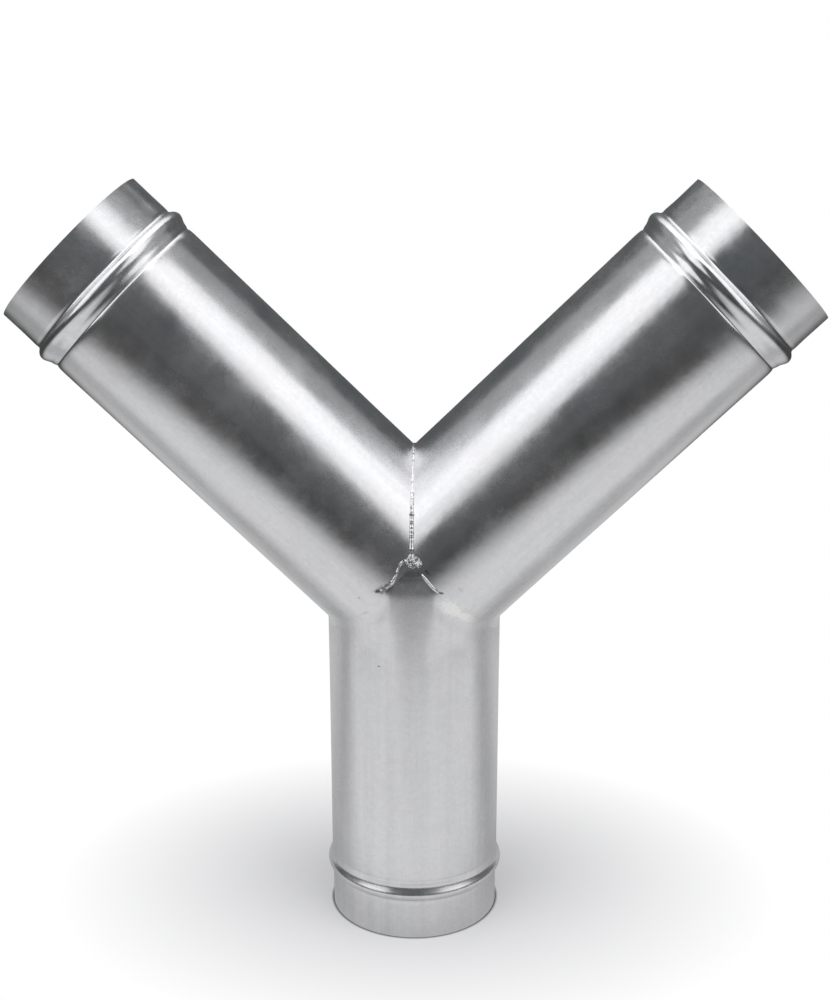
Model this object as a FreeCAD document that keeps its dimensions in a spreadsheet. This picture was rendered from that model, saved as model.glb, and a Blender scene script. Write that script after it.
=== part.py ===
import FreeCAD, Part
import math
import os
import Sketcher

# Y branch for round duct, folded from galvanised sheet.
# One stem and two branches are rolled tubes that end in a spigot with a stop bead.
# The branches are cut square at their inner ends and against each other,
# and the stem rises between them as a pointed tongue at the front and the back.
# Frame: millimetres, +Z up, origin at the middle of the stem's rim, branches in the XZ plane.

os.makedirs("parts", exist_ok=True)
doc = FreeCAD.newDocument("duct_y_branch")

# Driving dimensions in millimetres and degrees
DIMENSIONS = [
    ("sheet_thickness", 0.7),
    ("stem_radius", 50.0),
    ("stem_length", 211.0),
    ("branch_radius", 52.8),
    ("branch_length", 265.0),
    ("branch_angle", 45.6),
    ("branch_setback", 13.4),
    ("stem_spigot_step", 0.4),
    ("branch_spigot_step", 0.9),
    ("stem_spigot_length", 24.5),
    ("branch_spigot_length", 26.0),
    ("bead_height", 2.4),
    ("bead_shoulder", 3.6),
    ("bead_tail", 8.4),
    ("weld_width", 1.8),
    ("weld_height", 0.4),
    ("crotch_weld_height", 0.6),
    ("blob_radius", 6.0),
    ("blob_height", 2.2),
    ("cutter_margin", 12.0),
]

sheet = doc.addObject("Spreadsheet::Sheet", "Sizes")
for row, (alias, value) in enumerate(DIMENSIONS, start=1):
    sheet.set("A%d" % row, alias)
    sheet.set("B%d" % row, str(value))
    sheet.setAlias("B%d" % row, alias)
doc.recompute()

# Derived sizes, written with the sheet's own cells
STEM_SPIGOT = "(Sizes.stem_radius - Sizes.stem_spigot_step)"
BRANCH_SPIGOT = "(Sizes.branch_radius - Sizes.branch_spigot_step)"
BEAD_LENGTH = "(Sizes.bead_shoulder + Sizes.bead_tail)"
BRANCH_RUN_IN = "(Sizes.branch_radius / tan(Sizes.branch_angle))"
TONGUE_RISE = "(Sizes.branch_setback / cos(Sizes.branch_angle))"
TONGUE_TOP = "(Sizes.stem_length + %s)" % TONGUE_RISE
JOINT_WELD_TOP = "(%s + Sizes.weld_width / 2 / cos(Sizes.branch_angle))" % TONGUE_TOP
CROTCH_RISE = "(Sizes.branch_radius / sin(Sizes.branch_angle))"
CROTCH_DEPTH = "sqrt(Sizes.branch_radius ^ 2 - (Sizes.branch_setback * tan(Sizes.branch_angle)) ^ 2)"
TONGUE_DEPTH = "max(Sizes.stem_radius; %s)" % CROTCH_DEPTH
CUTTER_RADIUS = "(Sizes.branch_radius + Sizes.stem_radius + Sizes.cutter_margin)"
HALF_SPAN = "(Sizes.branch_length + Sizes.branch_radius + Sizes.stem_radius + Sizes.cutter_margin)"


def number(expression):
    """The value of an expression on the sheet's cells."""
    value = sheet.evalExpression(expression)
    return float(getattr(value, "Value", value))


def tie(item, prop, expression):
    """Binds one property to the sheet."""
    item.setExpression(prop, expression)


def solid(kind, name, **sizes):
    """A Part primitive whose sizes are bound to the sheet."""
    item = doc.addObject("Part::" + kind, name)
    for prop, expression in sizes.items():
        tie(item, prop, expression)
    return item


def joined(name, shapes):
    """All the shapes as one solid."""
    item = doc.addObject("Part::MultiFuse", name)
    item.Shapes = shapes
    return item


def shared(name, shapes):
    """What all the shapes share."""
    item = doc.addObject("Part::MultiCommon", name)
    item.Shapes = shapes
    return item


def cut(name, base, tool):
    """The base without the tool."""
    item = doc.addObject("Part::Cut", name)
    item.Base = base
    item.Tool = tool
    return item


# Places

def set_place(item, x, y, z, turn="0"):
    """Puts an object at x, y, z, turned about Y."""
    tie(item, "Placement", "placement(vector(%s; %s; %s); rotation(vector(0; 1; 0); %s))" % (x, y, z, turn))


def place_on_branch(item, side, along, aside="0", depth="0", facing="out"):
    """Puts an object on a branch's axis, so far along it from where the axes meet."""
    x = "%d * (%s) * sin(Sizes.branch_angle) + (%s) * cos(Sizes.branch_angle)" % (side, along, aside)
    z = "Sizes.stem_length + (%s) * cos(Sizes.branch_angle) - %d * (%s) * sin(Sizes.branch_angle)" % (
        along, side, aside)
    turn = "%d * Sizes.branch_angle" % side
    if facing == "in":
        turn = "180 + " + turn
    set_place(item, x, depth, z, turn)


# Turned solids

def origin_plane(body, role):
    """The body's own origin plane with that role."""
    return [plane for plane in body.Origin.OriginFeatures if plane.Role == role][0]


def closed_outline(body, name, points, arcs):
    """A closed sketch on the XZ plane through tied points.

    arcs maps the number of a segment to the number of the point
    that its arc's centre is level with."""
    sketch = body.newObject("Sketcher::SketchObject", name)
    sketch.AttachmentSupport = [(origin_plane(body, "XZ_Plane"), "")]
    sketch.MapMode = "FlatFace"
    places = [FreeCAD.Vector(number(x), number(z), 0) for x, z in points]
    count = len(points)
    starts = []
    for i in range(count):
        first, last = places[i], places[(i + 1) % count]
        if i not in arcs:
            sketch.addGeometry(Part.LineSegment(first, last), False)
            starts.append((1, 2))
            continue
        level = places[arcs[i] % count]
        other = last if arcs[i] == i else first
        rise, run = level.x - other.x, level.y - other.y
        radius = (rise * rise + run * run) / (2 * rise)
        centre = FreeCAD.Vector(level.x - radius, level.y, 0)
        a, b = first - centre, last - centre
        forward = a.x * b.y - a.y * b.x > 0
        if not forward:
            a, b = b, a
        circle = Part.Circle(centre, FreeCAD.Vector(0, 0, 1), abs(radius))
        sketch.addGeometry(Part.ArcOfCircle(circle, math.atan2(a.y, a.x), math.atan2(b.y, b.x)), False)
        starts.append((1, 2) if forward else (2, 1))
    for i in range(count):
        after = (i + 1) % count
        sketch.addConstraint(Sketcher.Constraint("Coincident", i, starts[i][1], after, starts[after][0]))
    for i, (x, z) in enumerate(points):
        where = (i, starts[i][0])
        if x == "0":
            sketch.addConstraint(Sketcher.Constraint("PointOnObject", *where, -2))
        else:
            tied_distance(sketch, "DistanceX", where, places[i].x, x)
        if z == "0":
            sketch.addConstraint(Sketcher.Constraint("PointOnObject", *where, -1))
        else:
            tied_distance(sketch, "DistanceY", where, places[i].y, z)
    for i, level in arcs.items():
        sketch.addConstraint(Sketcher.Constraint("Horizontal", i, 3, level, starts[level][0]))
    return sketch


def tied_distance(sketch, kind, where, value, expression):
    """Fixes one coordinate of a point to an expression."""
    index = sketch.addConstraint(Sketcher.Constraint(kind, -1, 1, where[0], where[1], value))
    sketch.setExpression("Constraints[%d]" % index, expression)


def turned_tube(name, inset, rim, spigot, body_radius, spigot_length, length):
    """A filled tube, rim down: spigot, stop bead and body, drawn inwards by inset."""
    body = doc.addObject("PartDesign::Body", name)
    crest = "%s + Sizes.bead_height - %s" % (body_radius, inset)
    wall = "%s - %s" % (body_radius, inset)
    throat = "%s - %s" % (spigot, inset)
    shoulder_top = "%s + Sizes.bead_shoulder" % spigot_length
    tail_end = "%s + %s" % (spigot_length, BEAD_LENGTH)
    points = [
        ("0", rim),
        (throat, rim),
        (throat, "%s + %s" % (spigot_length, inset)),
        (crest, shoulder_top),
        ("(%s + %s) / 2" % (crest, wall), "(%s + %s) / 2" % (shoulder_top, tail_end)),
        (wall, tail_end),
        (wall, length),
        ("0", length),
    ]
    sketch = closed_outline(body, name + "_outline", points, {2: 3, 3: 3, 4: 5})
    turn = body.newObject("PartDesign::Revolution", name + "_turn")
    turn.Profile = sketch
    turn.ReferenceAxis = (sketch, ["V_Axis"])
    turn.Angle = 360
    sketch.Visibility = False
    return body


def stem_tube(name, inset, rim):
    """The stem's tube, filled, up to the top of the weld round its tongue."""
    return turned_tube(name, inset, rim, STEM_SPIGOT, "Sizes.stem_radius",
                       "Sizes.stem_spigot_length", "%s - %s" % (JOINT_WELD_TOP, inset))


def branch_tube(name, inset, rim, side, half):
    """A branch's tube, filled, kept on its own side of the middle."""
    length = "Sizes.branch_length + " + BRANCH_RUN_IN
    body = turned_tube(name + "_tube", inset, rim, BRANCH_SPIGOT, "Sizes.branch_radius",
                       "Sizes.branch_spigot_length", length)
    place_on_branch(body, side, "Sizes.branch_length", facing="in")
    return shared(name, [body, half])


# Halves of the space on either side of the middle
SIDES = {"left": -1, "right": 1}
halves = {}
for word, side in SIDES.items():
    half = solid("Box", word + "_half", Length=HALF_SPAN, Width="2 * " + HALF_SPAN, Height="2 * " + HALF_SPAN)
    corner_x = "0" if side > 0 else "-%s" % HALF_SPAN
    set_place(half, corner_x, "-%s" % HALF_SPAN, "0")
    halves[word] = half

# The three tubes as one hollow shell
outsides = [stem_tube("stem_outside", "0", "0")]
bores = [stem_tube("stem_bore", "Sizes.sheet_thickness", "-Sizes.cutter_margin")]
for word, side in SIDES.items():
    outsides.append(branch_tube(word + "_outside", "0", "0", side, halves[word]))
    bores.append(branch_tube(word + "_bore", "Sizes.sheet_thickness", "-Sizes.cutter_margin", side, halves[word]))
outside = joined("outside", outsides)
bore = joined("bore", bores)
shell = cut("shell", outside, bore)

# Each branch ends square on its own axis, and against the other branch in the middle
zones = {}
for word, side in SIDES.items():
    reach = solid("Cylinder", word + "_reach", Radius=CUTTER_RADIUS,
                  Height="Sizes.branch_length - Sizes.branch_setback + Sizes.cutter_margin")
    place_on_branch(reach, side, "Sizes.branch_setback")
    zones[word] = shared(word + "_zone", [reach, halves[word]])
both_zones = joined("both_zones", list(zones.values()))

nodes = [cut("stem", shell, both_zones)]
for word in SIDES:
    nodes.append(shared(word + "_branch", [shell, zones[word]]))

# A skin of weld metal stands on the outside of the tubes
RAISED_STEM = "Sizes.stem_radius + Sizes.weld_height"
RAISED_BRANCH = "Sizes.branch_radius + Sizes.weld_height"
STEM_PLAIN_START = "(Sizes.stem_spigot_length + %s)" % BEAD_LENGTH
BRANCH_PLAIN_END = "(Sizes.branch_length - Sizes.branch_spigot_length - %s)" % BEAD_LENGTH
raised_stem = solid("Cylinder", "raised_stem", Radius=RAISED_STEM,
                    Height="%s - %s" % (JOINT_WELD_TOP, STEM_PLAIN_START))
set_place(raised_stem, "0", "0", STEM_PLAIN_START)
raised = [raised_stem]
for word, side in SIDES.items():
    tube = solid("Cylinder", word + "_raised_tube", Radius=RAISED_BRANCH,
                 Height="%s + %s" % (BRANCH_PLAIN_END, BRANCH_RUN_IN))
    place_on_branch(tube, side, "-" + BRANCH_RUN_IN)
    raised.append(shared(word + "_raised", [tube, halves[word]]))
weld_skin = cut("weld_skin", joined("raised", raised), outside)

# Weld round the square end of each branch
joint_welds = []
for word, side in SIDES.items():
    disc = solid("Cylinder", word + "_joint_disc", Radius=CUTTER_RADIUS, Height="Sizes.weld_width")
    place_on_branch(disc, side, "Sizes.branch_setback - Sizes.weld_width / 2")
    joint_welds.append(shared(word + "_joint_weld", [weld_skin, disc, halves[word]]))
nodes += joint_welds

# Weld in the crotch, over the middle from the front to the back
crotch_curve = solid("Ellipse", "crotch_curve",
                     MajorRadius="%s + Sizes.crotch_weld_height" % CROTCH_RISE,
                     MinorRadius="Sizes.branch_radius + Sizes.crotch_weld_height")
set_place(crotch_curve, "0", "0", "Sizes.stem_length", "-90")
crotch_disc = doc.addObject("Part::Extrusion", "crotch_disc")
crotch_disc.Base = crotch_curve
crotch_disc.Dir = FreeCAD.Vector(1, 0, 0)
crotch_disc.DirMode = "Custom"
crotch_disc.Solid = True
crotch_disc.Symmetric = True
tie(crotch_disc, "LengthFwd", "Sizes.weld_width")
crotch_reach = solid("Box", "crotch_reach", Length="2 * Sizes.weld_width", Width="2 * " + HALF_SPAN,
                     Height="%s + Sizes.cutter_margin" % CROTCH_RISE)
set_place(crotch_reach, "-Sizes.weld_width", "-" + HALF_SPAN, JOINT_WELD_TOP)
crotch_fill = cut("crotch_fill", crotch_disc, outside)
crotch_weld = shared("crotch_weld", [crotch_fill, crotch_reach])
nodes.append(crotch_weld)

# Lump of weld where the three tubes meet, at the front and the back
blob_bed = joined("blob_bed", [outside, crotch_weld] + joint_welds)
for word, depth_sign in {"front": "-", "back": ""}.items():
    lump = solid("Ellipsoid", word + "_lump", Radius1="Sizes.blob_height", Radius2="Sizes.blob_radius",
                 Radius3="Sizes.blob_radius")
    tie(lump, "Placement", "placement(vector(0; %s%s; %s); rotation(vector(1; 0; 0); 90))" % (
        depth_sign, TONGUE_DEPTH, TONGUE_TOP))
    nodes.append(cut(word + "_weld_blob", lump, blob_bed))

# Lengthwise seam of each rolled tube, along its back
stem_seam_reach = solid("Box", "stem_seam_reach", Length="Sizes.weld_width", Width=HALF_SPAN,
                        Height="%s - Sizes.blob_radius - %s" % (TONGUE_TOP, STEM_PLAIN_START))
set_place(stem_seam_reach, "-Sizes.weld_width / 2", "0", STEM_PLAIN_START)
nodes.append(shared("stem_seam_weld", [weld_skin, stem_seam_reach]))
SEAM_START = "(Sizes.branch_setback + Sizes.weld_width / 2)"
for word, side in SIDES.items():
    reach = solid("Box", word + "_seam_reach", Length="Sizes.weld_width", Width=HALF_SPAN,
                  Height="%s - %s" % (BRANCH_PLAIN_END, SEAM_START))
    place_on_branch(reach, side, SEAM_START, aside="-Sizes.weld_width / 2")
    nodes.append(shared(word + "_seam_weld", [weld_skin, reach]))

# Checks before anything is written
doc.recompute()
for item in doc.Objects:
    if "Invalid" in item.State or "Error" in item.State:
        raise RuntimeError("%s did not build: %s" % (item.Name, item.State))
for node in nodes:
    node.Label = node.Name
    shape = node.Shape
    if shape.isNull() or not shape.isValid() or len(shape.Solids) != 1:
        raise RuntimeError("%s is not one valid solid" % node.Name)
    print("%s volume %.1f mm3" % (node.Label, shape.Volume))

for node in nodes:
    node.Shape.exportStep(os.path.join("parts", node.Label + ".step"))
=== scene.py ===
import math
import random

import bmesh
import bpy
from mathutils import Matrix, Vector, noise


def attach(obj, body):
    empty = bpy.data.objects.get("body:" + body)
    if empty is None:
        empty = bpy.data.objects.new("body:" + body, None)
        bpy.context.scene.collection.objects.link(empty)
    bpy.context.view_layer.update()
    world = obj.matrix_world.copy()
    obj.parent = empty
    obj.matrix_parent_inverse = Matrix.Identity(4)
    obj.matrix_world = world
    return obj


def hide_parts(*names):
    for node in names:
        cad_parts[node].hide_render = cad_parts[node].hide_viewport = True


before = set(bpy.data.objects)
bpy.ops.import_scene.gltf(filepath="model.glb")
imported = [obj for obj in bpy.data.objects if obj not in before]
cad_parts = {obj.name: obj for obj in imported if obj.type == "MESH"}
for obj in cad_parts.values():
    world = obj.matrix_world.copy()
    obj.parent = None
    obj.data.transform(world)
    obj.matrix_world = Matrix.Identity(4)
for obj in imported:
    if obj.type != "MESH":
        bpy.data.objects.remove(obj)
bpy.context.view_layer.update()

# Y branch for round duct in galvanised sheet: three rolled tubes with stop beads, welded together.
# Metres, +Z up, origin at the middle of the stem's rim, branches in the XZ plane.

MM = 0.001

# Sizes of the piece, as the frame has them
SHEET = 0.7 * MM
STEM_RADIUS = 50.0 * MM
STEM_LENGTH = 211.0 * MM
STEM_SPIGOT = 24.5 * MM
BRANCH_RADIUS = 52.8 * MM
BRANCH_LENGTH = 265.0 * MM
BRANCH_SPIGOT = 26.0 * MM
BRANCH_ANGLE = math.radians(45.6)
BRANCH_SETBACK = 13.4 * MM
BEAD_SHOULDER = 3.6 * MM
BEAD_TAIL = 8.4 * MM
BEAD = BEAD_SHOULDER + BEAD_TAIL

# Finer shape of each bead, in mm: how far past the spigot, then how far the wall stands out from the body
BRANCH_BEAD = [
    (-2.2, -0.9), (-0.8, -1.1), (-0.1, -0.9), (0.5, -0.3), (1.3, 0.75), (2.3, 1.6), (3.3, 2.1),
    (4.3, 2.32), (5.4, 2.28), (6.8, 1.85), (8.4, 1.05), (9.8, 0.45), (11.3, 0.1), (12.5, -0.35),
    (13.4, -0.65), (14.4, -0.3), (16.4, -0.06), (20.0, 0.0),
]
STEM_BEAD = [
    (-2.2, -0.4), (-0.8, -0.55), (0.0, -0.35), (1.0, 1.0), (2.2, 1.95), (3.7, 2.36), (5.0, 2.1), (6.6, 1.25),
    (8.2, 0.5), (9.8, 0.2), (11.0, -0.02), (12.0, -0.14), (13.2, -0.02), (16.0, 0.0),
]

# What follows from these sizes
SIN, COS = math.sin(BRANCH_ANGLE), math.cos(BRANCH_ANGLE)
TONGUE_TOP = STEM_LENGTH + BRANCH_SETBACK / COS
CROTCH_TOP = STEM_LENGTH + BRANCH_RADIUS / SIN
JOINT_RADIUS = math.sqrt(BRANCH_RADIUS ** 2 - (BRANCH_SETBACK * SIN / COS) ** 2)

# Fineness of the tubes' meshes. The fine rows of the bead run out past its end
AROUND = 288
RIM_ROWS = 26
BEAD_ROWS = 60
BEAD_RUN_OUT = 6.0 * MM
BODY_ROWS = 84
SHARP_TURN = math.radians(38.0)

# Rounded change-over between stem and branch: narrow at their seam, and wide from some way off it
JOINT_BLEND = 1.6 * MM
JOINT_WIDE_BLEND = 8.0 * MM
JOINT_WIDENS_FROM = 1.0 * MM
JOINT_WIDENS_TO = 14.0 * MM
JOINT_REACH = 64.0 * MM
TONGUE_MARGIN = 2.0 * MM
EDGE_SEARCH_STEPS = 30

# Depth of the dents in the rolled sheet, and how far from a seam they reach it
SLOW_DENT = 0.14 * MM
QUICK_DENT = 0.03 * MM
DENT_FADE = 25.0 * MM
STEM_DENT_SEED = 1.0

# Depth of the dents in a branch's spigot, and the stem's share of it
SPIGOT_DENT = 0.5 * MM
STEM_SPIGOT_SHARE = 0.4

# Flattened middle of the stem, flush with the branches at its top. Its heights are over the meeting point
PANEL_TOP = BRANCH_SETBACK * COS
PANEL_KNEE = 2.2 * MM
PANEL_LEAN = 0.045
PANEL_END = -96.0 * MM
PANEL_HALF_WIDTH = 12.0 * MM
PANEL_REACH = 2.4 * PANEL_HALF_WIDTH
PANEL_SEAM_START = 0.1 * MM
PANEL_SEAM_END = 1.2 * MM

# The panel's border in half widths, and how far it moves as the panel grows softer on its way down
BORDER_START, BORDER_END = 0.88, 1.3
BORDER_START_SOFTENS, BORDER_END_SOFTENS = 0.4, 0.8
SOFTER_FROM, SOFTER_TO = -8.0 * MM, 42.0 * MM

SIDES = {"left": -1, "right": 1}


# Shapes of the tubes

def soft_max(a, b, width):
    """The larger of two lengths, with a rounded change-over."""
    t = max(width - abs(a - b), 0.0) / width
    return max(a, b) + t * t * width * 0.25


def eased(value, low, high):
    """0 up to low, 1 from high on, smooth between."""
    t = min(max((value - low) / (high - low), 0.0), 1.0)
    return t * t * (3.0 - 2.0 * t)


def wall_offset(distance, spigot, profile):
    """How far the wall stands out from the tube's body: a smooth line through the bead's profile."""
    t = (distance - spigot) / MM
    if t <= profile[0][0]:
        return profile[0][1] * MM
    if t >= profile[-1][0]:
        return profile[-1][1] * MM
    i = 0
    while profile[i + 1][0] < t:
        i += 1
    slopes = []
    for k in (i, i + 1):
        if k in (0, len(profile) - 1):
            slopes.append(0.0)
        else:
            before, after = profile[k - 1], profile[k + 1]
            slopes.append((after[1] - before[1]) / (after[0] - before[0]))
    (x0, y0), (x1, y1) = profile[i], profile[i + 1]
    run = x1 - x0
    u = (t - x0) / run
    level = y0 * (1 - u) ** 2 * (1 + 2 * u) + y1 * u * u * (3 - 2 * u)
    return (level + run * (slopes[0] * u * (1 - u) ** 2 - slopes[1] * u * u * (1 - u))) * MM


def wall_noise(distance, angle, around, lengthwise, shift):
    """Noise between 0 and 1 over a tube's wall, with its fineness round the tube and along it."""
    place = Vector((math.cos(angle) * around, math.sin(angle) * around, distance * lengthwise + shift))
    return 0.5 + 0.5 * noise.noise(place)


def dents(distance, angle, seed):
    """Unevenness of a rolled and beaten sheet, inwards only."""
    slow = SLOW_DENT * wall_noise(distance, angle, 1.1, 9.0, seed * 7.3)
    quick = QUICK_DENT * wall_noise(distance, angle, 3.1, 30.0, seed * 3.1)
    return -slow - quick


def spigot_dents(distance, angle, seed, spigot):
    """The spigot's own unevenness, deepest from the rim to its middle and gone at the bead."""
    wave = wall_noise(distance, angle, 1.9, 26.0, seed * 5.7)
    return -SPIGOT_DENT * wave * (1.0 - eased(distance, 0.5 * spigot, spigot))


def branch_reach(cosine, sine, height):
    """Distance from the stem's axis to the branches, at one direction and height over the meeting point."""
    c = abs(cosine)
    square = c * c * COS * COS + sine * sine
    half = c * COS * SIN * height
    inner = half * half - square * (height * height * SIN * SIN - BRANCH_RADIUS * BRANCH_RADIUS)
    if inner <= 0.0:
        return 0.0
    return (half + math.sqrt(inner)) / square


def stem_exit(along, cosine, sine):
    """Distance from a branch's axis, along one direction, at which the stem's surface is met."""
    square = COS * COS * cosine * cosine + sine * sine
    half = along * SIN * COS * cosine
    inner = half * half - square * (along * along * SIN * SIN - STEM_RADIUS * STEM_RADIUS)
    if inner <= 0.0:
        return 0.0
    return (math.sqrt(inner) - half) / square


def joint_blend(gap):
    """Width of the rounded change-over between stem and branch: small at their seam, wide away from it."""
    wider = eased(gap, JOINT_WIDENS_FROM, JOINT_WIDENS_TO)
    return JOINT_BLEND + (JOINT_WIDE_BLEND - JOINT_BLEND) * wider


def panel_depth(height):
    """How far the flattened middle lies in front of the stem's axis. At the tongue it follows the seams."""
    if height > PANEL_TOP:
        aside = (BRANCH_SETBACK - height * COS) / SIN
        return math.sqrt(BRANCH_RADIUS ** 2 + BRANCH_SETBACK ** 2 - aside ** 2 - height ** 2)
    depth = BRANCH_RADIUS + PANEL_LEAN * (PANEL_TOP - max(height, PANEL_KNEE))
    fall = min(max((PANEL_KNEE - height) / (PANEL_KNEE - PANEL_END), 0.0), 1.0)
    return depth + (STEM_RADIUS - depth) * (fall + eased(fall, 0.0, 1.0)) / 2


def stem_body(height, cosine, sine):
    """The stem's radius at a height over the meeting point, bead and dents apart; and its gap to the seams."""
    reach = branch_reach(cosine, sine, height)
    gap = BRANCH_SETBACK - max(STEM_RADIUS, reach) * abs(cosine) * SIN - height * COS
    body = soft_max(STEM_RADIUS, reach, joint_blend(gap))
    beside = abs(body * cosine)
    if beside < PANEL_REACH:
        soften = eased(-height, SOFTER_FROM, SOFTER_TO)
        start = (BORDER_START - BORDER_START_SOFTENS * soften) * PANEL_HALF_WIDTH
        end = (BORDER_END + BORDER_END_SOFTENS * soften) * PANEL_HALF_WIDTH
        middle = 1.0 - eased(beside, start, end)
        middle *= eased(gap, PANEL_SEAM_START, PANEL_SEAM_END)
        body += (panel_depth(height) / abs(sine) ** (1.0 - soften) - body) * middle
    return body, gap


def stem_point(distance, angle, inset):
    """A point of the stem's wall at a height over the rim."""
    cosine, sine = math.cos(angle), math.sin(angle)
    body, gap = STEM_RADIUS, DENT_FADE
    if distance > STEM_LENGTH + PANEL_END:
        body, gap = stem_body(distance - STEM_LENGTH, cosine, sine)
    radius = body + wall_offset(distance, STEM_SPIGOT, STEM_BEAD) - inset
    radius += dents(distance, angle, STEM_DENT_SEED) * eased(gap, 0.0, DENT_FADE)
    radius += STEM_SPIGOT_SHARE * spigot_dents(distance, angle, STEM_DENT_SEED, STEM_SPIGOT)
    return Vector((radius * cosine, radius * sine, distance))


def stem_top(angle, inset):
    """Height of the stem's cut edge: it meets the square ends of the branches."""
    low, high = STEM_LENGTH - JOINT_REACH, TONGUE_TOP + TONGUE_MARGIN
    for _ in range(EDGE_SEARCH_STEPS):
        middle = (low + high) / 2
        point = stem_point(middle, angle, inset)
        if abs(point.x) * SIN + (point.z - STEM_LENGTH) * COS < BRANCH_SETBACK:
            low = middle
        else:
            high = middle
    return (low + high) / 2


def branch_point(side, distance, angle, inset):
    """A point of a branch's wall, so far from its rim. Angle 0 is the underside, 90 degrees the back."""
    along = BRANCH_LENGTH - distance
    cosine, sine = math.cos(angle), math.sin(angle)
    body = BRANCH_RADIUS
    if along < JOINT_REACH and cosine > 0.0:
        body = soft_max(BRANCH_RADIUS, stem_exit(along, cosine, sine), JOINT_BLEND)
    gap = min(along - BRANCH_SETBACK, along * SIN + BRANCH_RADIUS * cosine * COS)
    radius = body + wall_offset(distance, BRANCH_SPIGOT, BRANCH_BEAD) - inset
    radius += dents(distance, angle, side) * eased(gap, 0.0, DENT_FADE)
    radius += spigot_dents(distance, angle, side, BRANCH_SPIGOT)
    outward = Vector((side * COS * cosine, sine, -SIN * cosine))
    axis = Vector((side * SIN, 0.0, COS))
    return Vector((0.0, 0.0, STEM_LENGTH)) + axis * along + outward * radius


def branch_end(side, angle, inset):
    """Distance from the rim to a branch's inner edge: its square end, or the middle of the crotch."""
    square_end = BRANCH_LENGTH - BRANCH_SETBACK
    cosine = math.cos(angle)
    if cosine >= 0.0:
        return square_end
    middle = BRANCH_LENGTH + (BRANCH_RADIUS - inset) * cosine * COS / SIN
    return min(square_end, middle)


def tube_mesh(name, spigot, point_at, end_at):
    """A tube with an outer and an inner wall, joined at the rim and at the inner edge."""
    head = spigot + BEAD + BEAD_RUN_OUT
    fixed = [spigot * (i / RIM_ROWS) for i in range(RIM_ROWS)]
    fixed += [spigot + (head - spigot) * (i / BEAD_ROWS) for i in range(BEAD_ROWS)]
    rows = len(fixed) + BODY_ROWS + 1
    vertices = []
    for inset in (0.0, SHEET):
        ends = [end_at(2 * math.pi * j / AROUND, inset) for j in range(AROUND)]
        for i in range(rows):
            for j in range(AROUND):
                if i < len(fixed):
                    distance = fixed[i]
                else:
                    distance = head + (ends[j] - head) * (i - len(fixed)) / BODY_ROWS
                vertices.append(point_at(distance, 2 * math.pi * j / AROUND, inset))
    inner = rows * AROUND
    faces = []
    for i in range(rows - 1):
        for j in range(AROUND):
            k = (j + 1) % AROUND
            ring = i * AROUND
            corners = (ring + j, ring + k, ring + k + AROUND, ring + j + AROUND)
            faces.append(corners)
            faces.append(tuple(inner + corner for corner in reversed(corners)))
    top = (rows - 1) * AROUND
    for j in range(AROUND):
        k = (j + 1) % AROUND
        faces.append((k, j, inner + j, inner + k))
        faces.append((top + j, top + k, inner + top + k, inner + top + j))
    mesh = bpy.data.meshes.new(name)
    mesh.from_pydata(vertices, [], faces)
    return link(name, finished(mesh))


def finished(mesh):
    """Faces point out of the solid, and edges that turn more than the limit stay sharp in the shading."""
    work = bmesh.new()
    work.from_mesh(mesh)
    bmesh.ops.recalc_face_normals(work, faces=work.faces)
    for face in work.faces:
        face.smooth = True
    for edge in work.edges:
        edge.smooth = not (len(edge.link_faces) == 2 and edge.calc_face_angle(0.0) > SHARP_TURN)
    work.to_mesh(mesh)
    work.free()
    return mesh


def link(name, data):
    """A new object in the scene."""
    piece = bpy.data.objects.new(name, data)
    bpy.context.scene.collection.objects.link(piece)
    return piece


# Shader helpers

def fill(tree, socket, value):
    """Sets a socket from another socket or from a constant."""
    if isinstance(value, bpy.types.NodeSocket):
        tree.links.new(value, socket)
    else:
        socket.default_value = value


def new_material(name):
    """A material with one shader; gives the material, its tree and the shader."""
    material = bpy.data.materials.new(name)
    material.use_nodes = True
    tree = material.node_tree
    tree.nodes.clear()
    output = tree.nodes.new("ShaderNodeOutputMaterial")
    shader = tree.nodes.new("ShaderNodeBsdfPrincipled")
    tree.links.new(shader.outputs["BSDF"], output.inputs["Surface"])
    return material, tree, shader


def mixed(tree, kind, factor, first, second):
    """A Mix node of colours or numbers; each input is a socket or a value."""
    node = tree.nodes.new("ShaderNodeMix")
    node.data_type = kind
    pick = {"FLOAT": (0, 2, 3, 0), "RGBA": (0, 6, 7, 2)}[kind]
    for place, value in zip(pick, (factor, first, second)):
        fill(tree, node.inputs[place], value)
    return node.outputs[pick[3]]


def sums(tree, operation, first, second=0.0):
    """A Math node."""
    node = tree.nodes.new("ShaderNodeMath")
    node.operation = operation
    fill(tree, node.inputs[0], first)
    fill(tree, node.inputs[1], second)
    return node.outputs[0]


def ramped(tree, value, low, high, to_low=0.0, to_high=1.0):
    """A smooth change from one number to another while the value goes from low to high."""
    node = tree.nodes.new("ShaderNodeMapRange")
    node.interpolation_type = "SMOOTHSTEP"
    for label, number in (("Value", value), ("From Min", low), ("From Max", high), ("To Min", to_low),
                          ("To Max", to_high)):
        fill(tree, node.inputs[label], number)
    return node.outputs["Result"]


def length_of(tree, vector):
    """Distance of the coordinates from their origin."""
    node = tree.nodes.new("ShaderNodeVectorMath")
    node.operation = "LENGTH"
    tree.links.new(vector, node.inputs[0])
    return node.outputs["Value"]


def placed(tree, vector, place, size, turn=0.0):
    """Coordinates around a place, in units of the given size, turned about Y."""
    node = tree.nodes.new("ShaderNodeMapping")
    node.vector_type = "TEXTURE"
    node.inputs["Location"].default_value = place
    node.inputs["Rotation"].default_value = (0.0, turn, 0.0)
    node.inputs["Scale"].default_value = size
    tree.links.new(vector, node.inputs["Vector"])
    return node.outputs["Vector"]


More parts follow.
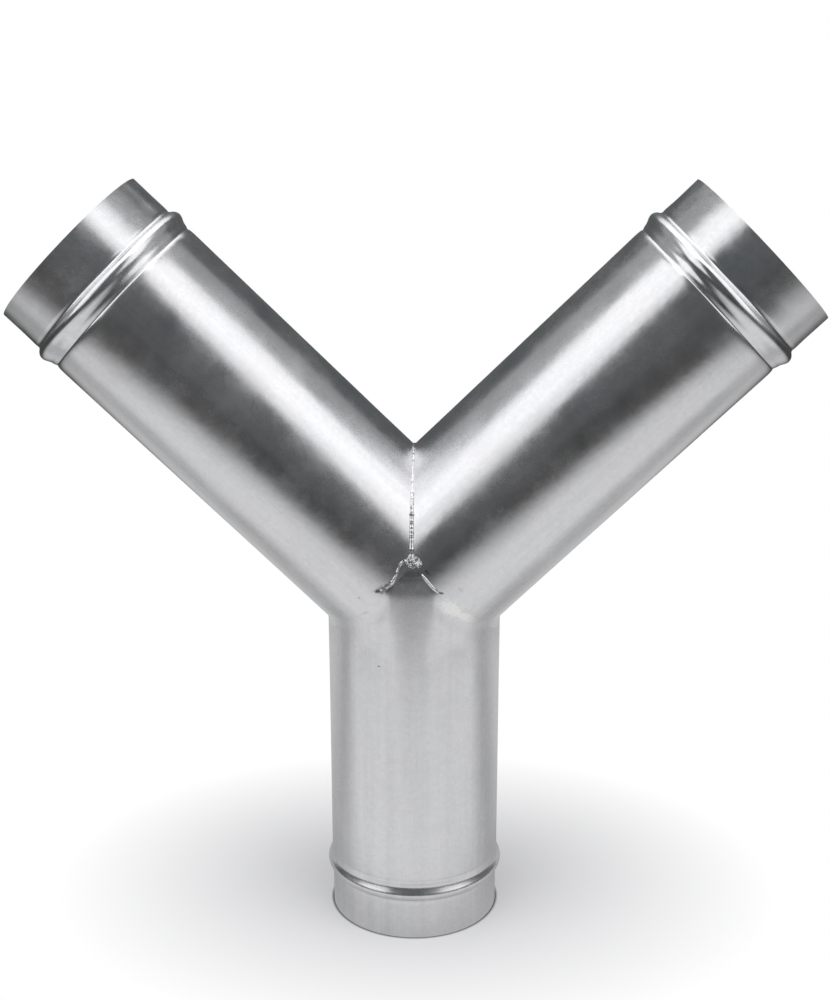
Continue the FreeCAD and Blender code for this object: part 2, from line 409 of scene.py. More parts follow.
def cloud(tree, vector, scale, detail, roughness, stretch=(1.0, 1.0, 1.0)):
    """Noise between 0 and 1 around one half."""
    mapping = tree.nodes.new("ShaderNodeMapping")
    mapping.inputs["Scale"].default_value = stretch
    tree.links.new(vector, mapping.inputs["Vector"])
    node = tree.nodes.new("ShaderNodeTexNoise")
    tree.links.new(mapping.outputs["Vector"], node.inputs["Vector"])
    for label, value in (("Scale", scale), ("Detail", detail), ("Roughness", roughness)):
        fill(tree, node.inputs[label], value)
    return node.outputs["Fac"]


# Finish of the sheet and of the welds
SPANGLE_CELLS = 420.0
SHEET_ROUGHNESS = 0.25
DULL_ZINC, BRIGHT_ZINC = (0.70, 0.705, 0.71, 1), (0.83, 0.835, 0.84, 1)
COOL_TINT, WARM_TINT = (0.98, 0.99, 1.0, 1), (1.0, 0.98, 1.0, 1)
SOOT, BARE_WELD = (0.12, 0.12, 0.125, 1), (0.86, 0.87, 0.88, 1)
SOOT_ROUGHNESS, WELD_ROUGHNESS = 0.5, 0.24


def zinc_group():
    """Galvanised surface: faint spangle, cloudy bloom, rolling streaks and fine grain."""
    group = bpy.data.node_groups.new("zinc_coating", "ShaderNodeTree")
    face = group.interface
    face.new_socket("Vector", in_out="INPUT", socket_type="NodeSocketVector")
    for label, value in (("Spangle", 0.5), ("Bloom", 0.5), ("Streaks", 0.5), ("Grain", 0.5)):
        face.new_socket(label, in_out="INPUT", socket_type="NodeSocketFloat").default_value = value
    for label in ("Tone", "Tint", "Roughness", "Height"):
        face.new_socket(label, in_out="OUTPUT", socket_type="NodeSocketFloat")
    entry = group.nodes.new("NodeGroupInput")
    leave = group.nodes.new("NodeGroupOutput")
    vector = entry.outputs["Vector"]

    def centred(value, label):
        """The value around zero, as strong as the group's own input says."""
        return sums(group, "MULTIPLY", sums(group, "SUBTRACT", value, 0.5), entry.outputs[label])

    cells = group.nodes.new("ShaderNodeTexVoronoi")
    cells.inputs["Scale"].default_value = SPANGLE_CELLS
    group.links.new(vector, cells.inputs["Vector"])
    flake = group.nodes.new("ShaderNodeSeparateColor")
    group.links.new(cells.outputs["Color"], flake.inputs["Color"])
    spangle = centred(flake.outputs["Red"], "Spangle")
    bloom = centred(cloud(group, vector, scale=30.0, detail=5.0, roughness=0.62), "Bloom")
    lines = cloud(group, vector, scale=170.0, detail=3.0, roughness=0.6, stretch=(1.0, 1.0, 0.03))
    streaks = centred(lines, "Streaks")
    grain = centred(cloud(group, vector, scale=520.0, detail=3.0, roughness=0.6), "Grain")
    tone = sums(group, "ADD", sums(group, "ADD", spangle, bloom), streaks)
    fill(group, leave.inputs["Tone"], tone)
    fill(group, leave.inputs["Tint"], cloud(group, vector, scale=19.0, detail=4.0, roughness=0.55))
    rough = sums(group, "ADD", sums(group, "MULTIPLY", bloom, 0.5), sums(group, "MULTIPLY", grain, 0.3))
    fill(group, leave.inputs["Roughness"], rough)
    waves = cloud(group, vector, scale=70.0, detail=3.0, roughness=0.5)
    height = sums(group, "ADD", waves, sums(group, "MULTIPLY", grain, 0.25))
    fill(group, leave.inputs["Height"], height)
    return group


def bumped(tree, shader, height, strength, distance):
    """Lets a height tilt the shader's normal."""
    bump = tree.nodes.new("ShaderNodeBump")
    bump.inputs["Strength"].default_value = strength
    bump.inputs["Distance"].default_value = distance
    fill(tree, bump.inputs["Height"], height)
    tree.links.new(bump.outputs["Normal"], shader.inputs["Normal"])


# Marks of the welder's work on the front, round the joint, and two patches of painted shade in the lower
# corners where the branches meet the stem: place aside and height over the meeting point, half width and
# half height, all in mm; then degrees that it falls to the right, tone and strength
# The dark tone paints the scorch marks and also the shade in the two lower corners.
PALE, SCORCH_AND_SHADE_TONE = (0.9, 0.895, 0.88, 1), (0.1, 0.1, 0.1, 1)
WELD_MARKS_AND_CORNER_SHADE = [
    (21.5, -5.5, 8.5, 5.2, 45.0, PALE, 0.9), (31.0, -13.5, 12.5, 3.2, 38.0, PALE, 0.9),
    (39.5, -19.4, 5.0, 1.4, 20.0, PALE, 0.8), (-24.0, 24.0, 5.5, 0.45, 58.0, PALE, 0.5),
    (-25.0, 29.0, 3.0, 0.4, -12.0, PALE, 0.4), (-15.8, 6.0, 5.8, 2.6, -20.0, SCORCH_AND_SHADE_TONE, 0.7),
    (-18.2, 5.0, 2.0, 1.2, -10.0, SCORCH_AND_SHADE_TONE, 0.9), (-13.2, 8.4, 3.0, 1.7, -45.0, SCORCH_AND_SHADE_TONE, 0.7),
    (15.9, 4.4, 2.6, 1.0, 12.0, SCORCH_AND_SHADE_TONE, 0.8), (0.5, 15.2, 6.0, 2.4, 0.0, SCORCH_AND_SHADE_TONE, 0.35),
    (8.5, 16.5, 2.2, 1.2, 50.0, SCORCH_AND_SHADE_TONE, 0.5), (-28.9, -0.1, 1.4, 0.7, 0.0, SCORCH_AND_SHADE_TONE, 0.4),
    (-26.2, -9.8, 3.4, 0.9, -32.0, SCORCH_AND_SHADE_TONE, 0.2), (-43.3, -26.9, 1.5, 0.8, 0.0, SCORCH_AND_SHADE_TONE, 0.3),
    (27.1, 5.7, 2.6, 1.4, 55.0, SCORCH_AND_SHADE_TONE, 0.12), (-18.3, -41.1, 0.9, 0.7, 0.0, SCORCH_AND_SHADE_TONE, 0.6),
    # Painted shade: soft dark patches in the two lower corners, under the branches where they meet the stem.
    (-45.0, -16.0, 12.0, 9.0, 40.0, SCORCH_AND_SHADE_TONE, 0.17), (46.0, -18.0, 11.0, 8.0, -40.0, SCORCH_AND_SHADE_TONE, 0.17),
]


def marks_and_shade_group():
    """The weld scorch, smears and scratches, and the painted corner shade, laid over a colour."""
    group = bpy.data.node_groups.new("joint_marks_and_corner_shade", "ShaderNodeTree")
    face = group.interface
    face.new_socket("Vector", in_out="INPUT", socket_type="NodeSocketVector")
    face.new_socket("Color", in_out="INPUT", socket_type="NodeSocketColor")
    face.new_socket("Color", in_out="OUTPUT", socket_type="NodeSocketColor")
    entry = group.nodes.new("NodeGroupInput")
    leave = group.nodes.new("NodeGroupOutput")
    vector, colour = entry.outputs["Vector"], entry.outputs["Color"]
    speckle = cloud(group, vector, scale=600.0, detail=4.0, roughness=0.65)
    ragged = ramped(group, speckle, 0.25, 0.75, -0.3, 0.3)
    for x, height, wide, tall, fall, tone, strength in WELD_MARKS_AND_CORNER_SHADE:
        place = (x * MM, -STEM_RADIUS, STEM_LENGTH + height * MM)
        local = placed(group, vector, place, (wide * MM, STEM_RADIUS / 2, tall * MM), math.radians(fall))
        away = sums(group, "ADD", length_of(group, local), ragged)
        colour = mixed(group, "RGBA", ramped(group, away, 0.45, 1.0, strength, 0.0), colour, tone)
    fill(group, leave.inputs["Color"], colour)
    return group


def galvanised_sheet(zinc, marks_and_shade, name, tube_turn):
    """The tubes' rolled sheet. tube_turn lays the rolling streaks along the tube."""
    material, tree, shader = new_material(name)
    turned = tree.nodes.new("ShaderNodeMapping")
    turned.inputs["Rotation"].default_value = (0.0, tube_turn, 0.0)
    coordinates = tree.nodes.new("ShaderNodeTexCoord").outputs["Object"]
    tree.links.new(coordinates, turned.inputs["Vector"])
    coating = tree.nodes.new("ShaderNodeGroup")
    coating.node_tree = zinc
    tree.links.new(turned.outputs["Vector"], coating.inputs["Vector"])
    for label, value in (("Spangle", 0.16), ("Bloom", 0.8), ("Streaks", 0.7), ("Grain", 0.25)):
        coating.inputs[label].default_value = value
    shade = ramped(tree, coating.outputs["Tone"], -0.4, 0.4)
    colour = mixed(tree, "RGBA", shade, DULL_ZINC, BRIGHT_ZINC)
    tint = ramped(tree, coating.outputs["Tint"], 0.35, 0.65)
    tinted = mixed(tree, "RGBA", tint, COOL_TINT, WARM_TINT)
    multiply = tree.nodes.new("ShaderNodeMix")
    multiply.data_type = "RGBA"
    multiply.blend_type = "MULTIPLY"
    multiply.inputs[0].default_value = 1.0
    fill(tree, multiply.inputs[6], colour)
    fill(tree, multiply.inputs[7], tinted)
    # Weld scorch, smears and scratches, and painted shade in the lower corners of the joint, over the zinc's
    # colour.
    marked_and_shaded = tree.nodes.new("ShaderNodeGroup")
    marked_and_shaded.node_tree = marks_and_shade
    tree.links.new(coordinates, marked_and_shaded.inputs["Vector"])
    tree.links.new(multiply.outputs[2], marked_and_shaded.inputs["Color"])
    fill(tree, shader.inputs["Base Color"], marked_and_shaded.outputs["Color"])
    fill(tree, shader.inputs["Roughness"], sums(tree, "ADD", coating.outputs["Roughness"], SHEET_ROUGHNESS))
    shader.inputs["Metallic"].default_value = 1.0
    bumped(tree, shader, coating.outputs["Height"], strength=0.2, distance=0.5 * MM)
    return material


def weld_metal(name, clean_from, clean_to):
    """Bright rough weld with ripples and small dark pits. With higher limits, soot covers more of it."""
    material, tree, shader = new_material(name)
    coordinates = tree.nodes.new("ShaderNodeTexCoord").outputs["Object"]
    pits = cloud(tree, coordinates, scale=420.0, detail=4.0, roughness=0.6)
    clean = ramped(tree, pits, clean_from, clean_to)
    fill(tree, shader.inputs["Base Color"], mixed(tree, "RGBA", clean, SOOT, BARE_WELD))
    fill(tree, shader.inputs["Roughness"], ramped(tree, clean, 0.0, 1.0, SOOT_ROUGHNESS, WELD_ROUGHNESS))
    shader.inputs["Metallic"].default_value = 1.0
    ripples = cloud(tree, coordinates, scale=1300.0, detail=3.0, roughness=0.6)
    bumped(tree, shader, ripples, strength=0.6, distance=0.2 * MM)
    return material


# Welds

def weld_tree():
    """A weld run along the piece's own line: an uneven bead with close ripples."""
    tree = bpy.data.node_groups.new("weld_run", "GeometryNodeTree")
    face = tree.interface
    face.new_socket("Geometry", in_out="INPUT", socket_type="NodeSocketGeometry")
    usual = {"Radius": 0.9 * MM, "Unevenness": 0.5, "Step": 0.3 * MM, "Ripple": 0.15 * MM}
    for label, value in usual.items():
        face.new_socket(label, in_out="INPUT", socket_type="NodeSocketFloat").default_value = value
    face.new_socket("Seed", in_out="INPUT", socket_type="NodeSocketInt").default_value = 1
    face.new_socket("Material", in_out="INPUT", socket_type="NodeSocketMaterial")
    face.new_socket("Geometry", in_out="OUTPUT", socket_type="NodeSocketGeometry")
    new, join = tree.nodes.new, tree.links.new
    entry, leave = new("NodeGroupInput"), new("NodeGroupOutput")

    to_curve = new("GeometryNodeMeshToCurve")
    join(entry.outputs["Geometry"], to_curve.inputs["Mesh"])
    resample = new("GeometryNodeResampleCurve")
    resample.mode = "LENGTH"
    join(to_curve.outputs["Curve"], resample.inputs["Curve"])
    join(entry.outputs["Step"], resample.inputs["Length"])
    place = new("GeometryNodeInputPosition")
    shift = sums(tree, "MULTIPLY", entry.outputs["Seed"], 13.7)

    def wobble(scale):
        """Noise around zero at the point's place."""
        lumps = new("ShaderNodeTexNoise")
        lumps.noise_dimensions = "4D"
        lumps.inputs["Scale"].default_value = scale
        lumps.inputs["Detail"].default_value = 2.0
        join(place.outputs["Position"], lumps.inputs["Vector"])
        join(shift, lumps.inputs["W"])
        return sums(tree, "SUBTRACT", lumps.outputs["Fac"], 0.5)

    swell = new("GeometryNodeInputNamedAttribute")
    swell.data_type = "FLOAT"
    swell.inputs["Name"].default_value = "swell"
    uneven = sums(tree, "MULTIPLY", sums(tree, "MULTIPLY", wobble(500.0), 2.0), entry.outputs["Unevenness"])
    factor = sums(tree, "MULTIPLY", sums(tree, "ADD", uneven, 1.0), swell.outputs["Attribute"])
    radius = sums(tree, "MULTIPLY", entry.outputs["Radius"], factor)
    sized = new("GeometryNodeSetCurveRadius")
    join(resample.outputs["Curve"], sized.inputs["Curve"])
    join(radius, sized.inputs["Radius"])
    ring = new("GeometryNodeCurvePrimitiveCircle")
    ring.inputs["Resolution"].default_value = 12
    ring.inputs["Radius"].default_value = 1.0
    tube = new("GeometryNodeCurveToMesh")
    join(sized.outputs["Curve"], tube.inputs["Curve"])
    join(ring.outputs["Curve"], tube.inputs["Profile Curve"])
    tube.inputs["Fill Caps"].default_value = True
    scale = new("GeometryNodeInputNamedAttribute")
    scale.data_type = "FLOAT"
    scale.inputs["Name"].default_value = "radius"
    join(scale.outputs["Attribute"], tube.inputs["Scale"])

    moved = new("GeometryNodeSetPosition")
    join(tube.outputs["Mesh"], moved.inputs["Geometry"])
    push = new("ShaderNodeVectorMath")
    push.operation = "SCALE"
    join(new("GeometryNodeInputNormal").outputs["Normal"], push.inputs[0])
    join(sums(tree, "MULTIPLY", wobble(1500.0), entry.outputs["Ripple"]), push.inputs["Scale"])
    join(push.outputs["Vector"], moved.inputs["Offset"])
    realized = new("GeometryNodeRealizeInstances")
    join(moved.outputs["Geometry"], realized.inputs["Geometry"])
    coated = new("GeometryNodeSetMaterial")
    join(realized.outputs["Geometry"], coated.inputs["Geometry"])
    join(entry.outputs["Material"], coated.inputs["Material"])
    join(coated.outputs["Geometry"], leave.inputs["Geometry"])
    return tree


def weld_run(name, tree, path, material, swells=None, **values):
    """A plain mesh of a weld run along the path's points. Swells makes it wider or narrower at each."""
    line = bpy.data.meshes.new(name)
    line.from_pydata(path, [(i, i + 1) for i in range(len(path) - 1)], [])
    swell = line.attributes.new("swell", "FLOAT", "POINT")
    swell.data.foreach_set("value", swells or [1.0] * len(path))
    piece = link(name, line)
    modifier = piece.modifiers.new("weld_run", "NODES")
    modifier.node_group = tree
    sockets = {item.name: item.identifier for item in tree.interface.items_tree if item.in_out == "INPUT"}
    modifier[sockets["Material"]] = material
    for label, value in values.items():
        modifier[sockets[label]] = value
    made = bpy.data.meshes.new_from_object(piece.evaluated_get(bpy.context.evaluated_depsgraph_get()))
    piece.modifiers.clear()
    piece.data = finished(made)
    return piece


def crotch_path(count=360):
    """Points in the valley between the branches, from the front over the top to the back."""
    start = math.asin((TONGUE_TOP - STEM_LENGTH) / (CROTCH_TOP - STEM_LENGTH))
    points = []
    for i in range(count + 1):
        angle = start + (math.pi - 2 * start) * i / count
        depth = -BRANCH_RADIUS * math.cos(angle)
        points.append(Vector((0.0, depth, STEM_LENGTH + (CROTCH_TOP - STEM_LENGTH) * math.sin(angle))))
    return points


# The crotch weld on the front: height over the meeting point in mm, then how many times its usual width
CROTCH_SWELLS = [
    (19.0, 1.4), (27.0, 1.35), (29.5, 1.3), (44.0, 1.15), (45.2, 1.2), (45.9, 1.5), (46.8, 1.1), (49.0, 1.05),
    (57.0, 1.15), (58.5, 0.8), (61.0, 0.7), (62.6, 1.3), (64.0, 0.8), (66.0, 0.6), (69.0, 0.7), (70.6, 1.0),
    (71.6, 1.2), (72.6, 1.0), (73.5, 1.2), (74.0, 1.2),
]


def between(pairs, x):
    """Straight-line value of the pairs at x."""
    if x <= pairs[0][0]:
        return pairs[0][1]
    for (x0, y0), (x1, y1) in zip(pairs, pairs[1:]):
        if x <= x1:
            return y0 + (y1 - y0) * (x - x0) / (x1 - x0)
    return pairs[-1][1]


def front_point(x, height, lift):
    """A point on the front of the tubes, at a place beside the middle and a height over the meeting point."""
    along = abs(x) * SIN + height * COS
    if along >= BRANCH_SETBACK:
        depth = math.sqrt(BRANCH_RADIUS ** 2 + along ** 2 - x * x - height * height)
    else:
        depth = STEM_RADIUS
        for _ in range(FRONT_SEARCH_STEPS):
            radius = math.hypot(x, depth)
            body, _ = stem_body(height, x / radius, -depth / radius)
            depth = math.sqrt(body * body - x * x)
    return Vector((x, -depth - lift, STEM_LENGTH + height))


# Each joint weld where it shows beside the lump: place aside, height over the meeting point and lift over the
# tubes, all in mm; then how many times its usual width
JOINT_STARTS = {
    "left": [
        (-4.4, 22.4, 0.2, 1.1), (-6.0, 20.8, 0.3, 1.5), (-6.9, 18.6, 0.1, 1.0), (-7.7, 16.6, 0.3, 1.3),
        (-8.6, 14.4, 0.15, 1.0), (-9.5, 12.4, 0.3, 1.5), (-10.5, 10.6, 0.3, 1.6), (-11.6, 9.0, 0.1, 1.2),
        (-13.0, 7.6, -0.25, 1.1), (-14.6, 6.6, -0.8, 0.9), (-16.4, 5.8, -0.45, 1.2), (-18.2, 4.8, -0.8, 0.9),
        (-20.0, 3.0, -0.9, 0.7),
    ],
    "right": [
        (5.4, 15.6, -0.7, 0.8), (6.6, 14.0, 0.1, 1.0), (8.0, 12.3, 0.4, 1.3), (9.6, 10.3, 0.45, 1.35),
        (11.2, 8.4, 0.45, 1.35), (12.6, 6.8, 0.4, 1.3), (13.7, 5.6, 0.1, 1.0), (15.4, 3.8, -0.7, 0.7),
    ],
}
JOINT_RUN_RADIUS = 0.62 * MM
JOINT_RUN_SUNK = 0.62 * MM
JOINT_RUN_RIPPLE = {"left": 0.4 * MM, "right": 0.08 * MM}
DRESSED_SWELL = 0.7
START_GAP = 2.0 * MM
FRONT_SEARCH_STEPS = 6


def joint_path(word, side, count=200):
    """Points round a branch's square end, from beside the front lump to the back, and the swell at each."""
    points, swells = [], []
    for x, height, lift, width in JOINT_STARTS[word]:
        points.append(front_point(x * MM, height * MM, lift * MM))
        swells.append(width)
    spread = math.acos(-BRANCH_SETBACK * SIN / COS / BRANCH_RADIUS)
    for i in range(count + 1):
        angle = -spread + 2 * spread * i / count
        point = branch_point(side, BRANCH_LENGTH - BRANCH_SETBACK, angle, JOINT_RUN_SUNK)
        if point.y > 0.0 or abs(point.x) > abs(points[-1].x) + START_GAP:
            points.append(point)
            swells.append(DRESSED_SWELL)
    return points, swells


LUMP_PLACE = Vector((1.1 * MM, JOINT_RADIUS - 0.8 * MM, STEM_LENGTH + 21.4 * MM))
LUMP_SIZE = Vector((6.4 * MM, 2.5 * MM, 4.0 * MM))
LUMP_SEEDS = {"front": 11, "back": 12}
LUMP_CRINKLE, LUMP_FOLD, LUMP_LEAST = 0.3, 0.6, 0.35
LUMP_NARROWS = 0.35


def blob(name, depth_sign, seed, material):
    """A crinkled lump of weld where the three tubes meet."""
    random.seed(seed)
    work = bmesh.new()
    bmesh.ops.create_icosphere(work, subdivisions=6, radius=1.0)
    centre = Vector((LUMP_PLACE.x, depth_sign * LUMP_PLACE.y, LUMP_PLACE.z))
    shift = Vector((random.uniform(0, 9), random.uniform(0, 9), random.uniform(0, 9)))
    for vertex in work.verts:
        way = vertex.co.normalized()
        crinkle = noise.fractal(way * 2.4 + shift, 0.9, 2.1, 4)
        fold = abs(noise.noise(way * 4.2 + shift * 2))
        narrow = 1.0 - LUMP_NARROWS * max(way.z, 0.0)
        size = max(1.0 + LUMP_CRINKLE * crinkle - LUMP_FOLD * fold, LUMP_LEAST)
        place = Vector((way.x * LUMP_SIZE.x * narrow, way.y * LUMP_SIZE.y, way.z * LUMP_SIZE.z))
        vertex.co = centre + place * size
    mesh = bpy.data.meshes.new(name)
    work.to_mesh(mesh)
    work.free()
    mesh.materials.append(material)
    return link(name, finished(mesh))


# The object

def finish_piece(piece, node):
    """The piece rides the part's body and takes the place of its CAD node."""
    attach(piece, "root")
    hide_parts(node)


zinc, marks_and_shade = zinc_group(), marks_and_shade_group()
sheet_materials = {
    "stem": galvanised_sheet(zinc, marks_and_shade, "galvanised_stem", 0.0),
    "left": galvanised_sheet(zinc, marks_and_shade, "galvanised_left_branch", BRANCH_ANGLE),
    "right": galvanised_sheet(zinc, marks_and_shade, "galvanised_right_branch", -BRANCH_ANGLE),
}
weld = weld_metal("weld_metal", clean_from=0.32, clean_to=0.5)
clean_weld = weld_metal("clean_weld_metal", clean_from=0.1, clean_to=0.3)
run_metal = {"left": weld, "right": clean_weld}
run_tree = weld_tree()

stem = tube_mesh("stem_tube", STEM_SPIGOT, stem_point, stem_top)
stem.data.materials.append(sheet_materials["stem"])
finish_piece(stem, "stem")
for word, side in SIDES.items():
    tube = tube_mesh(word + "_branch_tube", BRANCH_SPIGOT,
                     lambda distance, angle, inset, side=side: branch_point(side, distance, angle, inset),
                     lambda angle, inset, side=side: branch_end(side, angle, inset))
    tube.data.materials.append(sheet_materials[word])
    finish_piece(tube, word + "_branch")

crotch_points = crotch_path()
crotch_swells = [between(CROTCH_SWELLS, (point.z - STEM_LENGTH) / MM) if point.y < 0.0 else 1.0
                 for point in crotch_points]
crotch = weld_run("crotch_weld_run", run_tree, crotch_points, weld, crotch_swells,
                  Radius=0.95 * MM, Unevenness=0.35, Ripple=0.4 * MM, Seed=3)
finish_piece(crotch, "crotch_weld")
for word, side in SIDES.items():
    points, swells = joint_path(word, side)
    run = weld_run(word + "_joint_weld_run", run_tree, points, run_metal[word], swells,
                   Radius=JOINT_RUN_RADIUS, Unevenness=0.2, Ripple=JOINT_RUN_RIPPLE[word], Seed=5 + side)
    finish_piece(run, word + "_joint_weld")
for word, sign in {"front": -1, "back": 1}.items():
    finish_piece(blob(word + "_blob", sign, LUMP_SEEDS[word], weld), word + "_weld_blob")

# Lengthwise seams, at the back of the tubes
BACK = math.pi / 2
SEAM_RADIUS = 0.5 * MM
SEAM_SUNK = 0.25 * MM
SEAM_STEPS = 100
SEAM_BELOW_TONGUE = 6.0 * MM


def seam_run(word, start, end, point_at, seed):
    """A tube's seam. The two ends are distances from the rim, and point_at gives the wall's point at one."""
    path = [point_at(start + (end - start) * i / SEAM_STEPS) for i in range(SEAM_STEPS + 1)]
    run = weld_run(word + "_seam_run", run_tree, path, sheet_materials[word],
                   Radius=SEAM_RADIUS, Unevenness=0.2, Ripple=0.08 * MM, Seed=seed)
    finish_piece(run, word + "_seam_weld")


seam_run("stem", STEM_SPIGOT + BEAD, TONGUE_TOP - SEAM_BELOW_TONGUE,
         lambda distance: stem_point(distance, BACK, SEAM_SUNK), 8)
for word, side in SIDES.items():
    seam_run(word, BRANCH_SPIGOT + BEAD, BRANCH_LENGTH - BRANCH_SETBACK,
             lambda distance, side=side: branch_point(side, distance, BACK, SEAM_SUNK), 10 + side)


# Floor

# The pool of light that the metal reflects, painted on the floor as glow, with painted shade near the stem's
# foot, behind it and in a sector in front: distances from the stem in metres, and brightness
POOL_START, POOL_END = 0.42, 0.84
POOL_NEAR, POOL_FAR = 0.78, 0.10
POOL_CONTACT_SHADOW, POOL_CONTACT_START, POOL_CONTACT_END = 0.59, 0.04, 0.14
POOL_WIDER = 1.17
BEHIND_START, BEHIND_END, BEHIND_SHADE = -0.09, 0.05, 0.6
FAR_BEHIND_START, FAR_BEHIND_END, FAR_BEHIND_SHADE = 0.06, 0.26, 0.78
FRONT_START, FRONT_END, FRONT_SHADE = -0.30, -0.50, 0.34
FRONT_WIDTH, FRONT_BORDER = 0.22, 0.06

# The floor that the camera sees: a grey oval round the stem, a painted shadow that shows the real lamp-lit
# shading inside it, which fades to white, and a painted dark shadow line at the rim
FLOOR_GREY = 0.80
FLOOR_TINT = (0.96, 0.955, 1.0)
SHADOW_PLACE, SHADOW_WIDTH, SHADOW_DEPTH = 0.025, 0.20, 0.155
WHITE_START, WHITE_END = 0.01, 1.12
RIM_SHADE, RIM_SHADE_START, RIM_SHADE_END = 0.15, STEM_RADIUS - 0.5 * MM, 51.6 * MM


def pale_floor():
    """Pale sheet, painted shadow round the stem fading to white; in reflections a painted pool of light."""
    material, tree, shader = new_material("pale_floor")
    coordinates = tree.nodes.new("ShaderNodeTexCoord").outputs["Object"]
    axes = tree.nodes.new("ShaderNodeSeparateXYZ")
    tree.links.new(coordinates, axes.inputs[0])
    seen = tree.nodes.new("ShaderNodeLightPath").outputs["Is Camera Ray"]

    away = length_of(tree, placed(tree, coordinates, (0.0, 0.0, 0.0), (POOL_WIDER, 1.0, 1.0)))
    pool = ramped(tree, away, POOL_START, POOL_END, 1.0, POOL_FAR)
    # Painted shadow: the reflected pool is darker close to the stem's foot.
    contact_shadow = ramped(tree, away, POOL_CONTACT_START, POOL_CONTACT_END, POOL_CONTACT_SHADOW, POOL_NEAR)
    pool = sums(tree, "MULTIPLY", pool, contact_shadow)
    back = axes.outputs["Y"]
    # Painted shade behind the stem, lighter again farther back.
    behind = ramped(tree, back, BEHIND_START, BEHIND_END, 1.0, BEHIND_SHADE)
    farther = ramped(tree, back, FAR_BEHIND_START, FAR_BEHIND_END, 0.0, FAR_BEHIND_SHADE - BEHIND_SHADE)
    pool = sums(tree, "MULTIPLY", pool, sums(tree, "ADD", behind, farther))
    # Painted shade in a narrow sector in front of the stem.
    ahead = ramped(tree, back, FRONT_START, FRONT_END)
    beside = sums(tree, "ABSOLUTE", axes.outputs["X"])
    narrow = ramped(tree, beside, FRONT_WIDTH - FRONT_BORDER, FRONT_WIDTH + FRONT_BORDER, FRONT_SHADE, 0.0)
    pool = sums(tree, "MULTIPLY", pool, sums(tree, "SUBTRACT", 1.0, sums(tree, "MULTIPLY", ahead, narrow)))

    # Painted shadow: an oval round the stem inside which the white glow gives way to the lit grey.
    shadow_oval = placed(tree, coordinates, (0.0, SHADOW_PLACE, 0.0), (SHADOW_WIDTH, SHADOW_DEPTH, 1.0))
    fade = tree.nodes.new("ShaderNodeMapRange")
    fade_values = {"Value": length_of(tree, shadow_oval), "From Min": WHITE_START, "From Max": WHITE_END}
    for label, number in fade_values.items():
        fill(tree, fade.inputs[label], number)
    white = fade.outputs["Result"]

    grey_share = sums(tree, "MULTIPLY", sums(tree, "SUBTRACT", 1.0, white), FLOOR_GREY)
    base = sums(tree, "MULTIPLY", seen, grey_share)
    unevenness = cloud(tree, coordinates, scale=3.0, detail=4.0, roughness=0.5)
    fine = ramped(tree, unevenness, 0.2, 0.8, 0.99, 1.0)
    # Painted shadow: a thin dark ring on the floor round the stem's rim.
    rim = ramped(tree, length_of(tree, coordinates), RIM_SHADE_START, RIM_SHADE_END, RIM_SHADE, 1.0)
    base = sums(tree, "MULTIPLY", sums(tree, "MULTIPLY", base, fine), rim)
    grey = tree.nodes.new("ShaderNodeCombineColor")
    for channel, share in zip(grey.inputs, FLOOR_TINT):
        fill(tree, channel, sums(tree, "MULTIPLY", base, share))
    fill(tree, shader.inputs["Base Color"], grey.outputs["Color"])
    shader.inputs["Emission Color"].default_value = (1.0, 1.0, 1.0, 1.0)
    glow = mixed(tree, "FLOAT", seen, pool, sums(tree, "MULTIPLY", white, rim))
    fill(tree, shader.inputs["Emission Strength"], glow)
    shader.inputs["Roughness"].default_value = 0.9
    shader.inputs["Specular IOR Level"].default_value = 0.0
    return material


FLOOR_HALF = 6.0
floor_mesh = bpy.data.meshes.new("floor")
floor_mesh.from_pydata([(-FLOOR_HALF, -FLOOR_HALF, 0), (FLOOR_HALF, -FLOOR_HALF, 0),
                        (FLOOR_HALF, FLOOR_HALF, 0), (-FLOOR_HALF, FLOOR_HALF, 0)], [], [(0, 1, 2, 3)])
floor = link("floor", floor_mesh)
floor_mesh.materials.append(pale_floor())


# Light

SUBJECT = Vector((0.0, 0.0, 0.25))


def soft_box(name, azimuth, elevation, distance, width, height, brightness):
    """A soft box aimed at the object. Azimuth 0 is the front, 90 the right; brightness 1 reads as white."""
    turn, lift = math.radians(azimuth), math.radians(elevation)
    way = Vector((math.sin(turn) * math.cos(lift), -math.cos(turn) * math.cos(lift), math.sin(lift)))
    data = bpy.data.lights.new(name, "AREA")
    data.shape = "RECTANGLE"
    data.size, data.size_y = width, height
    data.energy = brightness * math.pi * width * height
    lamp = link(name, data)
    lamp.location = SUBJECT + way * distance
    lamp.rotation_euler = (-way).to_track_quat("-Z", "Y").to_euler()
    lamp.visible_camera = False


for word, side in SIDES.items():
    soft_box(word + "_box", azimuth=side * 54.5 + 1.5, elevation=34.0, distance=1.25,
             width=1.0, height=1.3, brightness=0.95)
    soft_box(word + "_halo", azimuth=side * 88.0, elevation=34.0, distance=1.5,
             width=2.1, height=1.5, brightness=0.26)
soft_box("back_box", azimuth=181.7, elevation=49.0, distance=1.8, width=1.2, height=0.6, brightness=1.0)
soft_box("top_box", azimuth=0.0, elevation=90.0, distance=2.2, width=2.2, height=2.86, brightness=1.3)

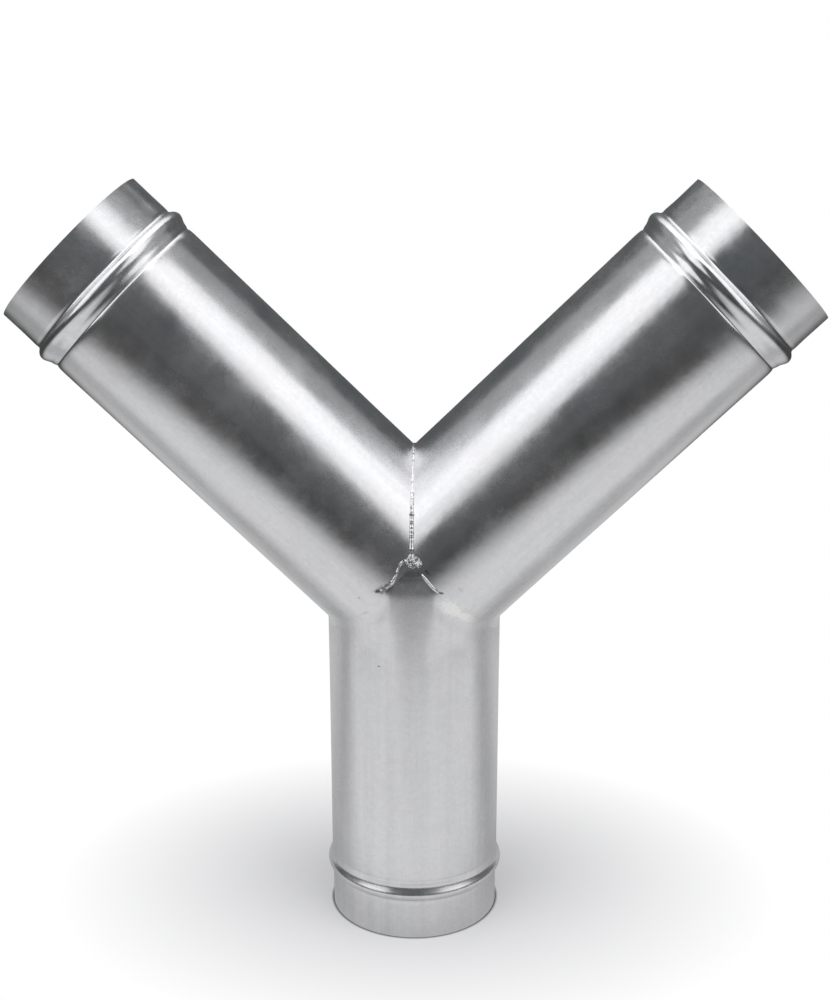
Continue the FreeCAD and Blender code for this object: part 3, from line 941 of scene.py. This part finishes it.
ROOM_TINT = (0.92, 0.98, 1.0, 1)
ROOM_BRIGHTNESS = 0.11


def studio_world():
    """White behind the object, and a dim room in its reflections."""
    world = bpy.data.worlds.new("studio")
    world.use_nodes = True
    tree = world.node_tree
    tree.nodes.clear()
    output = tree.nodes.new("ShaderNodeOutputWorld")
    seen = tree.nodes.new("ShaderNodeBackground")
    seen.inputs["Color"].default_value = (1, 1, 1, 1)
    around = tree.nodes.new("ShaderNodeBackground")
    around.inputs["Color"].default_value = ROOM_TINT
    around.inputs["Strength"].default_value = ROOM_BRIGHTNESS
    mix = tree.nodes.new("ShaderNodeMixShader")
    tree.links.new(tree.nodes.new("ShaderNodeLightPath").outputs["Is Camera Ray"], mix.inputs["Fac"])
    tree.links.new(around.outputs[0], mix.inputs[1])
    tree.links.new(seen.outputs[0], mix.inputs[2])
    tree.links.new(mix.outputs[0], output.inputs["Surface"])
    bpy.context.scene.world = world


studio_world()
bpy.context.scene.view_settings.view_transform = "Standard"


# Camera, from the outlines in the photograph

FOCAL_PIXELS, FRAME_HEIGHT, SENSOR = 1517.48, 1000.0, 36.0
CAMERA_PLACE = Vector((-3.6 * MM, -834.5 * MM, 493.9 * MM))
CAMERA_PITCH, CAMERA_YAW, CAMERA_ROLL = 16.092, 0.284, -0.063
OBJECT_YAW = -1.953


def photo_camera():
    """The camera that took the photograph, turned with the object's own yaw."""
    data = bpy.data.cameras.new("camera")
    data.sensor_fit = "AUTO"
    data.sensor_width = SENSOR
    data.lens = SENSOR * FOCAL_PIXELS / FRAME_HEIGHT
    camera = link("camera", data)
    look = (Matrix.Rotation(-math.radians(CAMERA_YAW), 4, "Z")
            @ Matrix.Rotation(math.radians(90.0 - CAMERA_PITCH), 4, "X")
            @ Matrix.Rotation(math.radians(CAMERA_ROLL), 4, "Z"))
    stand = Matrix.Rotation(-math.radians(OBJECT_YAW), 4, "Z") @ Matrix.Translation(CAMERA_PLACE)
    camera.matrix_world = stand @ look
    bpy.context.scene.camera = camera


photo_camera()
